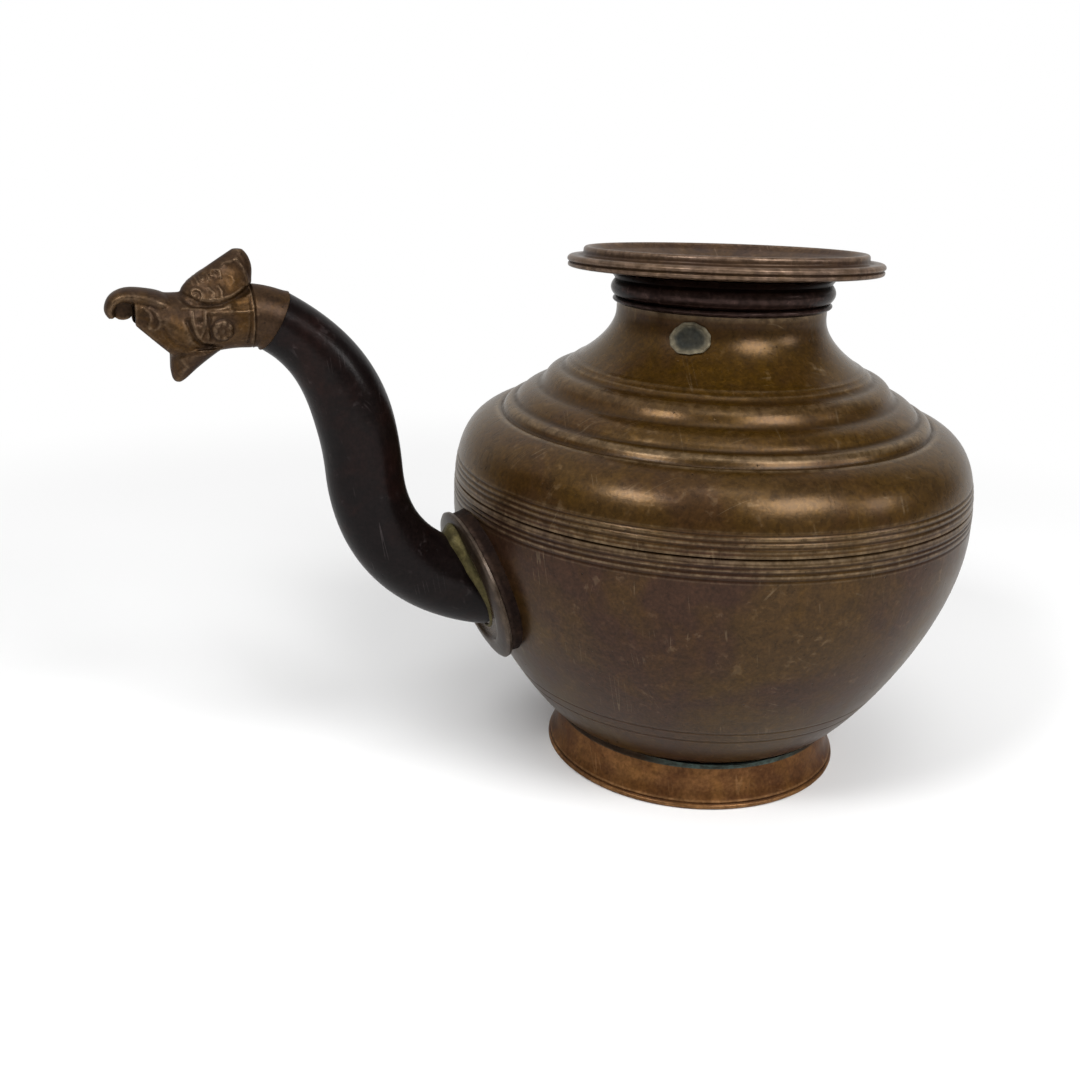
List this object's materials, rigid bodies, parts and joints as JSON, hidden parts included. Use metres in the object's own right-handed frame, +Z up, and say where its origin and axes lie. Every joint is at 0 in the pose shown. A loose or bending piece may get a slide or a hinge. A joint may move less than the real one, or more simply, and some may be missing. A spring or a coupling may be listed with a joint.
{
  "type": "spouted water pot",
  "caption": "Round-bodied bronze water pot with a flanged mouth, a flared foot and a curved spout that ends in an open-mouthed beast head.",
  "frame": {"origin": "under the middle of the whole object's box, at the level of the foot's lower edge", "axes": "+Z up along the pot's axis, the spout towards -X, the front of the picture towards -Y"},
  "size_m": [0.312, 0.1948, 0.2004],
  "materials": {
    "body_bronze": "satin brown patina",
    "mouth_bronze": "satin worn patina",
    "collar_bronze": "dark purple-brown patina",
    "foot_copper": "satin copper-brown",
    "spout_bronze": "near-black gloss patina",
    "head_bronze": "carved, dark in the recesses",
    "boss_bronze": "satin grey-brown patina",
    "brass_solder": "dull cast surface",
    "crust_solder": "rough crust",
    "verdigris_solder": "matt verdigris",
    "seal_wax": "dull wax"
  },
  "bodies": {
    "root": {"foot_ring": "foot_copper", "foot_solder": "verdigris_solder", "lower_bowl": "body_bronze", "upper_body": "body_bronze", "neck_collar": "collar_bronze", "mouth_rim": "mouth_bronze", "neck_seal": "seal_wax", "spout_boss": "boss_bronze", "boss_solder": "crust_solder", "spout_solder": "brass_solder", "spout_tube": "spout_bronze", "spout_ferrule": "head_bronze", "beast_head": "head_bronze"}
  },
  "joints": []
}
